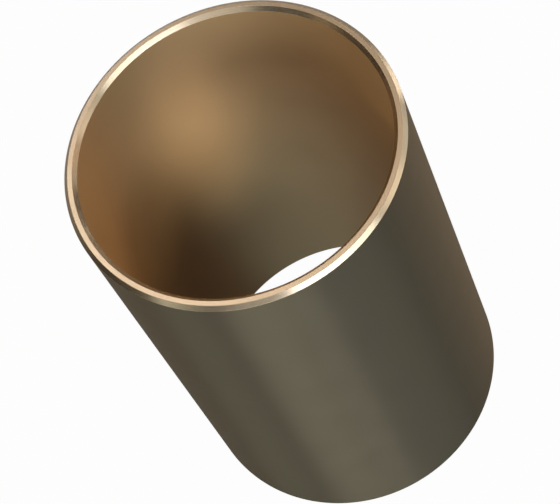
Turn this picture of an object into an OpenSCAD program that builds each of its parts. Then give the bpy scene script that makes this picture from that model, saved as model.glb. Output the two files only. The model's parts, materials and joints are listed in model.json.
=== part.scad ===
// Plain sleeve bearing: one thin-walled bronze tube, turned all over, with a 45 degree
// chamfer on the inner and the outer edge of both end faces.
// It stands on its lower end face, with its axis along +Z and its origin at the centre of that face.
// Lengths are in millimetres.

/* [Sleeve] */
// Bore diameter, which is the nominal size of the shaft that runs in it
bore_d = 38.1; // [10:0.1:80]
// Wall thickness, from the bore to the outside
wall = 1.5875; // [1.2:0.0125:6]
// Overall length, from one end face to the other
length = 63.5; // [10:0.5:120]

/* [Chamfered ends] */
// Leg of the chamfer that leads a shaft into each mouth of the bore
bore_chamfer = 0.5; // [0.1:0.05:0.55]
// Leg of the chamfer that leads each end of the outside into a housing
outer_chamfer = 0.5; // [0.1:0.05:0.55]

/* [Hidden] */

// Bore and outside radius
bore_r = bore_d / 2;
outer_r = bore_r + wall;

// Sides of the turned surfaces
turned_fn = 180;

// Bearing bronze, between the bright end faces and the darker wall
bronze = [0.60, 0.50, 0.36];

// Half of the sleeve's section, round from the bore's edge of the lower end face
function wall_section() = [
    [bore_r + bore_chamfer, 0],
    [outer_r - outer_chamfer, 0],
    [outer_r, outer_chamfer],
    [outer_r, length - outer_chamfer],
    [outer_r - outer_chamfer, length],
    [bore_r + bore_chamfer, length],
    [bore_r, length - bore_chamfer],
    [bore_r, bore_chamfer]
];

module sleeve() {
    color(bronze)
        rotate_extrude($fn = turned_fn)
            polygon(wall_section());
}

sleeve();
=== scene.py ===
import json
import math

import bpy
from mathutils import Matrix, Vector


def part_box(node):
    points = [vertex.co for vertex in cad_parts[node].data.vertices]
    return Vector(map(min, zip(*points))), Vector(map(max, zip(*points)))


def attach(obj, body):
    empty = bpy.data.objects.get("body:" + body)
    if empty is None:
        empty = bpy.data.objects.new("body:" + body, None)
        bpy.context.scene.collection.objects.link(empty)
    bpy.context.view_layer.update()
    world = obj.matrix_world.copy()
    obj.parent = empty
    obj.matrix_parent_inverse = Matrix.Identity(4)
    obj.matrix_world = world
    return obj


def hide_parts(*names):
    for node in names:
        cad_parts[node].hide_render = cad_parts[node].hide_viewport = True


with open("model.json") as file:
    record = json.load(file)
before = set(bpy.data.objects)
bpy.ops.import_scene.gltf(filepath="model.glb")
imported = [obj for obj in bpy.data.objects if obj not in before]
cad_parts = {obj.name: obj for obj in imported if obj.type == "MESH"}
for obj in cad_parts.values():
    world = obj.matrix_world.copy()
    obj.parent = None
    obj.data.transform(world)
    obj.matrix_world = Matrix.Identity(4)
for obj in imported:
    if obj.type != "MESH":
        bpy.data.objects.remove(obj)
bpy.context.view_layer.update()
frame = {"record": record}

# Sizes from the frame, in metres
MM = 0.001
mounts = {mount["name"]: mount for mount in frame["record"]["mounts"]}
bore_r = mounts["shaft_bore"]["dims"]["r_mm"] * MM
outer_r = mounts["housing_seat"]["dims"]["r_mm"] * MM
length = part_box("sleeve")[1].z
bore_chamfer = (length - mounts["shaft_bore"]["dims"]["length_mm"] * MM) / 2
outer_chamfer = (length - mounts["housing_seat"]["dims"]["length_mm"] * MM) / 2
top_centre = Vector((0, 0, length))

# The camera: where it stands seen from the top end's centre, how it turns from there (degrees), and its lens
CAMERA_ELEVATION = 56.35
CAMERA_DISTANCE = 11.746 * outer_r
CAMERA_YAW = 0.195
CAMERA_PITCH = -3.124
CAMERA_ROLL = -28.374
LENS_MM = 134.45
SENSOR_MM = 36


def add_camera():
    """The camera at the photo's viewing angle: aimed at the top end's centre, then turned and rolled."""
    elevation = math.radians(CAMERA_ELEVATION)
    offset = Vector((0, -math.cos(elevation), math.sin(elevation)))
    aim = (-offset).to_track_quat("-Z", "Y").to_matrix()
    yaw = Matrix.Rotation(math.radians(CAMERA_YAW), 3, "Y")
    pitch = Matrix.Rotation(math.radians(CAMERA_PITCH), 3, "X")
    roll = Matrix.Rotation(math.radians(CAMERA_ROLL), 3, "Z")
    data = bpy.data.cameras.new("camera")
    data.lens = LENS_MM
    data.sensor_width = SENSOR_MM
    data.clip_start = outer_r
    camera = bpy.data.objects.new("camera", data)
    camera.matrix_world = Matrix.Translation(top_centre + offset * CAMERA_DISTANCE) @ (
        aim @ yaw @ pitch @ roll
    ).to_4x4()
    bpy.context.scene.collection.objects.link(camera)
    bpy.context.scene.camera = camera


# The turned sleeve
CORNER_ROUND = 0.04 * MM
CORNER_STEPS = 4
TURNED_STEPS = 360
WALL_RINGS = 24


def section():
    """The corners of the wall's section as (radius, height), each with the zone of the side after it."""
    return [
        ((bore_r + bore_chamfer, 0), "end_face"),
        ((outer_r - outer_chamfer, 0), "outer_chamfer"),
        ((outer_r, outer_chamfer), "outside"),
        ((outer_r, length - outer_chamfer), "outer_chamfer"),
        ((outer_r - outer_chamfer, length), "end_face"),
        ((bore_r + bore_chamfer, length), "bore_chamfer"),
        ((bore_r, length - bore_chamfer), "bore"),
        ((bore_r, bore_chamfer), "bore_chamfer"),
    ]


def rounded_outline(sides):
    """The section with rounded corners, as (point, outward normal, zone of the side after the point)."""
    corners = [Vector(point) for point, _ in sides]
    zones = [zone for _, zone in sides]
    outline = []
    for i, corner in enumerate(corners):
        along_in = (corner - corners[i - 1]).normalized()
        along_out = (corners[(i + 1) % len(corners)] - corner).normalized()
        normal_in = Vector((along_in.y, -along_in.x))
        turn = along_in.angle(along_out)
        centre = corner - along_in * CORNER_ROUND * math.tan(turn / 2) - normal_in * CORNER_ROUND
        for step in range(CORNER_STEPS + 1):
            normal = normal_in.copy()
            normal.rotate(Matrix.Rotation(turn * step / CORNER_STEPS, 2))
            zone = zones[i] if 2 * step >= CORNER_STEPS else zones[i - 1]
            outline.append((centre + normal * CORNER_ROUND, normal, zone))
        rings = WALL_RINGS if zones[i] in ("outside", "bore") else 1
        start = outline[-1][0]
        run = (corners[(i + 1) % len(corners)] - start).length - CORNER_ROUND * math.tan(turn / 2)
        for ring in range(1, rings):
            outline.append((start + along_out * run * ring / rings, outline[-1][1], zones[i]))
    return outline


def turned_mesh(name, outline, zone_slots):
    """The outline turned round the Z axis, with exact normals and one material slot for each zone."""
    verts, normals, faces, slots = [], [], [], []
    count = len(outline)
    for step in range(TURNED_STEPS):
        angle = math.tau * step / TURNED_STEPS
        cos, sin = math.cos(angle), math.sin(angle)
        for point, normal, _ in outline:
            verts.append((point.x * cos, point.x * sin, point.y))
            normals.append((normal.x * cos, normal.x * sin, normal.y))
        for i, (_, _, zone) in enumerate(outline):
            here, after = step * count, (step + 1) % TURNED_STEPS * count
            faces.append((here + i, after + i, after + (i + 1) % count, here + (i + 1) % count))
            slots.append(zone_slots[zone])
    mesh = bpy.data.meshes.new(name)
    mesh.from_pydata(verts, [], faces)
    mesh.polygons.foreach_set("material_index", slots)
    mesh.shade_smooth()
    mesh.normals_split_custom_set_from_vertices(normals)
    return mesh


# The three finishes of the bronze: colour (linear), roughness and anisotropy
OUTSIDE = ((0.14, 0.122, 0.08), 0.45, 0.95)
BORE = ((0.435, 0.29, 0.145), 0.7, 0.7)
MACHINED = ((0.5, 0.38, 0.25), 0.25, 0.0)
COLOUR_VARIES = 0.05
ROUGHNESS_VARIES = 0.04
MOTTLE_MM = 5.0
MOTTLE_DETAIL = 4
WALL_LINE_MM = 0.25
FACE_LINE_MM = 0.12
LINE_DETAIL = 3
LINE_DEPTH = 0.002 * MM
LINE_SHARE = 0.5
QUARTER_TURN = 0.25
# Which sockets of the Mix node hold the first and second value and the result
MIX_SOCKETS = {"FLOAT": (2, 3, 0), "RGBA": (6, 7, 2)}


def place_on_sleeve(tree, along_radius):
    """The object's own coordinates, and the one that the turning lines cross: the radius or the height."""
    place = tree.nodes.new("ShaderNodeTexCoord")
    if along_radius:
        flat = tree.nodes.new("ShaderNodeVectorMath")
        flat.operation = "MULTIPLY"
        flat.inputs[1].default_value = (1, 1, 0)
        tree.links.new(place.outputs["Object"], flat.inputs[0])
        radius = tree.nodes.new("ShaderNodeVectorMath")
        radius.operation = "LENGTH"
        tree.links.new(flat.outputs[0], radius.inputs[0])
        return place.outputs["Object"], radius.outputs["Value"]
    split = tree.nodes.new("ShaderNodeSeparateXYZ")
    tree.links.new(place.outputs["Object"], split.inputs[0])
    return place.outputs["Object"], split.outputs["Z"]


def turning_lines(tree, step, line_mm):
    """Fine uneven lines of the lathe tool, which cross the given coordinate."""
    lines = tree.nodes.new("ShaderNodeTexNoise")
    lines.noise_dimensions = "1D"
    lines.inputs["Scale"].default_value = 1 / (line_mm * MM)
    lines.inputs["Detail"].default_value = LINE_DETAIL
    tree.links.new(step, lines.inputs["W"])
    return lines.outputs["Fac"]


def mottle(tree, place):
    """Slow cloudy change, as on bronze that has dulled a little."""
    clouds = tree.nodes.new("ShaderNodeTexNoise")
    clouds.inputs["Scale"].default_value = 1 / (MOTTLE_MM * MM)
    clouds.inputs["Detail"].default_value = MOTTLE_DETAIL
    tree.links.new(place, clouds.inputs["Vector"])
    return clouds.outputs["Fac"]


def lines_and_mottle(tree, lines, clouds):
    """The lines and the mottle together, each by its share."""
    part = tree.nodes.new("ShaderNodeMath")
    part.operation = "MULTIPLY"
    part.inputs[1].default_value = 1 - LINE_SHARE
    tree.links.new(clouds, part.inputs[0])
    both = tree.nodes.new("ShaderNodeMath")
    both.operation = "MULTIPLY_ADD"
    both.inputs[1].default_value = LINE_SHARE
    tree.links.new(lines, both.inputs[0])
    tree.links.new(part.outputs[0], both.inputs[2])
    return both.outputs[0]


def between(tree, kind, factor, low, high):
    """A value or a colour that runs from low to high with the factor."""
    mix = tree.nodes.new("ShaderNodeMix")
    mix.data_type = kind
    first, second, result = MIX_SOCKETS[kind]
    mix.inputs[first].default_value = low
    mix.inputs[second].default_value = high
    tree.links.new(factor, mix.inputs[0])
    return mix.outputs[result]


def bronze(name, finish, along_radius, line_mm):
    """One finish of the bronze. Turning lines run round the axis, so highlights stretch along it."""
    colour, roughness, anisotropy = finish
    material = bpy.data.materials.new(name)
    material.use_nodes = True
    tree = material.node_tree
    shader = tree.nodes["Principled BSDF"]
    shader.inputs["Metallic"].default_value = 1
    shader.inputs["Anisotropic"].default_value = anisotropy
    shader.inputs["Anisotropic Rotation"].default_value = QUARTER_TURN
    tangent = tree.nodes.new("ShaderNodeTangent")
    tangent.direction_type = "RADIAL"
    tangent.axis = "Z"
    tree.links.new(tangent.outputs[0], shader.inputs["Tangent"])

    place, step = place_on_sleeve(tree, along_radius)
    lines = turning_lines(tree, step, line_mm)
    clouds = mottle(tree, place)
    dark = [part * (1 - COLOUR_VARIES) for part in colour] + [1]
    light = [part * (1 + COLOUR_VARIES) for part in colour] + [1]
    shade = between(tree, "RGBA", lines_and_mottle(tree, lines, clouds), dark, light)
    tree.links.new(shade, shader.inputs["Base Color"])
    smooth, dull = roughness - ROUGHNESS_VARIES, roughness + ROUGHNESS_VARIES
    tree.links.new(between(tree, "FLOAT", clouds, smooth, dull), shader.inputs["Roughness"])
    bump = tree.nodes.new("ShaderNodeBump")
    bump.inputs["Distance"].default_value = LINE_DEPTH
    tree.links.new(lines, bump.inputs["Height"])
    tree.links.new(bump.outputs[0], shader.inputs["Normal"])
    return material


def add_sleeve():
    """The sleeve as one turned piece, in three finishes."""
    finishes = [
        bronze("bronze_outside", OUTSIDE, False, WALL_LINE_MM),
        bronze("bronze_bore", BORE, False, WALL_LINE_MM),
        bronze("bronze_machined", MACHINED, True, FACE_LINE_MM),
    ]
    zone_slots = {"outside": 0, "bore": 1, "end_face": 2, "outer_chamfer": 2, "bore_chamfer": 2}
    mesh = turned_mesh("sleeve_turned", rounded_outline(section()), zone_slots)
    for finish in finishes:
        mesh.materials.append(finish)
    piece = bpy.data.objects.new("sleeve_turned", mesh)
    bpy.context.scene.collection.objects.link(piece)
    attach(piece, "root")
    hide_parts("sleeve")


# The studio, with lengths in metres and angles in degrees
FLOOR_HALF = 3.0
FLOOR_COLOUR = (0.36, 0.36, 0.36)
FLOOR_WHITE_TO_CAMERA = 0.975
FLOOR_WHITE_TO_MIRRORS = 0.08
WORLD_COLOUR = (0.02, 0.02, 0.02)
WORLD_WHITE_TO_CAMERA = 1.0
WORLD_WHITE_TO_MIRRORS = 0.02
WHITE = (1, 1, 1, 1)
SOFTBOX_DISTANCE = 1.2
SPOT_DISTANCE = 0.8
SPOT_LAMP_R = 0.003
SPOT_BLEND = 1.0
# Softboxes: (azimuth, elevation, width, height) and radiance (red, green, blue)
SOFTBOXES = {
    "front": ((8, 32, 0.58, 0.27), (5.0, 5.5, 6.7)),
    "front_right": ((36, 31, 0.5, 0.4), (3.3, 3.75, 4.1)),
    "right": ((68, 22, 0.5, 0.4), (1.85, 1.85, 1.8)),
    "low_left": ((330, 9, 0.5, 0.35), (5.5, 5.85, 6.0)),
    "low_front_left": ((352, 9, 0.45, 0.35), (3.5, 3.75, 3.8)),
    "low_far_left": ((296, 9, 0.5, 0.35), (2.5, 2.8, 2.7)),
    "low_right": ((92, 10, 0.5, 0.38), (1.0, 1.15, 1.2)),
    "low_thin_right": ((118, 0.5, 0.45, 0.12), (5.2, 5.4, 5.4)),
    "low_far_right": ((145, 9, 0.5, 0.35), (1.4, 1.4, 1.35)),
    "high_right": ((110, 42, 0.9, 0.7), (2.45, 1.65, 1.1)),
    "high_back_left": ((250, 42, 0.9, 0.7), (1.4, 1.15, 0.8)),
    "high_front_left": ((335, 48, 0.9, 0.6), (1.1, 1.2, 1.25)),
    "steep_left": ((315, 66, 0.9, 0.8), (1.15, 1.12, 1.17)),
    "top": ((300, 82, 1.0, 1.0), (0.8, 0.67, 0.66)),
    "rim_back": ((200, 53, 0.3, 0.3), (0.4, 0.42, 0.42)),
    "rim_back_steep": ((180, 62, 0.4, 0.3), (1.1, 1.03, 0.93)),
    "rim_back_small": ((188, 57, 0.2, 0.2), (2.2, 2.2, 2.4)),
}
# Spots through the mouth: (azimuth, elevation), where they meet the bore's wall as (azimuth, depth in outer
# radii), cone, and irradiance there (red, green, blue)
SPOTS = {
    "far_wall": ((14, 46), (187, 1.0), 2.0, (0.53, 0.46, 0.4)),
    "far_wall_low": ((12, 50), (188, 1.4), 1.8, (0.33, 0.36, 0.36)),
    "streak_high": ((16, 41), (190, 0.6), 1.3, (0.46, 0.4, 0.32)),
    "streak": ((14, 46), (188, 1.0), 1.3, (0.58, 0.52, 0.42)),
    "streak_low": ((12, 50), (190, 1.4), 1.3, (0.42, 0.41, 0.36)),
    "far_wall_left": ((48, 47), (230, 1.0), 1.9, (0.44, 0.4, 0.31)),
    "deep_right": ((345, 70), (165, 2.7), 2.3, (0.68, 1.12, 1.5)),
    "deep_far_right": ((310, 66), (138, 2.1), 2.3, (0.32, 0.36, 0.44)),
}


def white_share(tree, to_camera, to_mirrors):
    """The share of plain white that the camera, and mirrored and transmitted rays, see."""
    path = tree.nodes.new("ShaderNodeLightPath")
    seen = tree.nodes.new("ShaderNodeMath")
    seen.operation = "MULTIPLY"
    seen.inputs[1].default_value = to_camera
    tree.links.new(path.outputs["Is Camera Ray"], seen.inputs[0])
    mirrored = tree.nodes.new("ShaderNodeMath")
    mirrored.operation = "MAXIMUM"
    tree.links.new(path.outputs["Is Glossy Ray"], mirrored.inputs[0])
    tree.links.new(path.outputs["Is Transmission Ray"], mirrored.inputs[1])
    total = tree.nodes.new("ShaderNodeMath")
    total.operation = "MULTIPLY_ADD"
    total.inputs[1].default_value = to_mirrors
    tree.links.new(mirrored.outputs[0], total.inputs[0])
    tree.links.new(seen.outputs[0], total.inputs[2])
    return total.outputs[0]


def add_floor():
    """The plain pale floor that the sleeve stands on."""
    mesh = bpy.data.meshes.new("floor")
    h = FLOOR_HALF
    mesh.from_pydata([(-h, -h, 0), (h, -h, 0), (h, h, 0), (-h, h, 0)], [], [(0, 1, 2, 3)])
    material = bpy.data.materials.new("floor")
    material.use_nodes = True
    tree = material.node_tree
    tree.nodes.clear()
    paint = tree.nodes.new("ShaderNodeBsdfDiffuse")
    paint.inputs["Color"].default_value = (*FLOOR_COLOUR, 1)
    white = tree.nodes.new("ShaderNodeEmission")
    blend = tree.nodes.new("ShaderNodeMixShader")
    tree.links.new(white_share(tree, FLOOR_WHITE_TO_CAMERA, FLOOR_WHITE_TO_MIRRORS), blend.inputs[0])
    tree.links.new(paint.outputs[0], blend.inputs[1])
    tree.links.new(white.outputs[0], blend.inputs[2])
    output = tree.nodes.new("ShaderNodeOutputMaterial")
    tree.links.new(blend.outputs[0], output.inputs["Surface"])
    mesh.materials.append(material)
    floor = bpy.data.objects.new("floor", mesh)
    bpy.context.scene.collection.objects.link(floor)


def add_world():
    """Faint grey light from all sides, white to the camera."""
    world = bpy.data.worlds.new("world")
    bpy.context.scene.world = world
    world.use_nodes = True
    tree = world.node_tree
    tree.nodes.clear()
    room = tree.nodes.new("ShaderNodeBackground")
    room.inputs["Color"].default_value = (*WORLD_COLOUR, 1)
    white = tree.nodes.new("ShaderNodeBackground")
    white.inputs["Color"].default_value = WHITE
    blend = tree.nodes.new("ShaderNodeMixShader")
    tree.links.new(white_share(tree, WORLD_WHITE_TO_CAMERA, WORLD_WHITE_TO_MIRRORS), blend.inputs[0])
    tree.links.new(room.outputs[0], blend.inputs[1])
    tree.links.new(white.outputs[0], blend.inputs[2])
    output = tree.nodes.new("ShaderNodeOutputWorld")
    tree.links.new(blend.outputs[0], output.inputs["Surface"])


def towards(azimuth, elevation):
    """A unit vector. Azimuth 0 is the camera's side, and 90 is to its right."""
    a, e = math.radians(azimuth), math.radians(elevation)
    return Vector((math.sin(a) * math.cos(e), -math.cos(a) * math.cos(e), math.sin(e)))


def hang(name, data, target, direction, distance, strength):
    """Hangs a lamp, unseen by the camera and aimed at the target. The strength tints and scales it."""
    brightest = max(strength)
    data.color = [part / brightest for part in strength]
    data.energy *= brightest
    lamp = bpy.data.objects.new(name, data)
    lamp.location = target + direction * distance
    lamp.rotation_euler = direction.to_track_quat("Z", "Y").to_euler()
    lamp.visible_camera = False
    bpy.context.scene.collection.objects.link(lamp)


def add_softbox(name, stand, radiance):
    """A softbox aimed at the sleeve's middle."""
    azimuth, elevation, width, height = stand
    data = bpy.data.lights.new(name, "AREA")
    data.shape = "RECTANGLE"
    data.size = width
    data.size_y = height
    data.energy = math.pi * width * height
    hang(name, data, top_centre / 2, towards(azimuth, elevation), SOFTBOX_DISTANCE, radiance)


def add_spot(name, stand, aim, cone, irradiance):
    """A narrow spot with a soft edge, through the mouth onto one place of the bore."""
    data = bpy.data.lights.new(name, "SPOT")
    data.spot_size = math.radians(cone)
    data.spot_blend = SPOT_BLEND
    data.shadow_soft_size = SPOT_LAMP_R
    data.energy = 4 * math.pi * SPOT_DISTANCE**2
    wall_azimuth, depth = aim
    target = towards(wall_azimuth, 0) * bore_r + top_centre - Vector((0, 0, depth * outer_r))
    hang(name, data, target, towards(*stand), SPOT_DISTANCE, irradiance)


def add_lamps():
    """Soft light from round the sleeve, and the spots that reach into the bore."""
    for name, (stand, radiance) in SOFTBOXES.items():
        add_softbox(name, stand, radiance)
    for name, (stand, aim, cone, irradiance) in SPOTS.items():
        add_spot(name, stand, aim, cone, irradiance)


bpy.context.scene.view_settings.view_transform = "Standard"
add_camera()
add_sleeve()
add_floor()
add_world()
add_lamps()
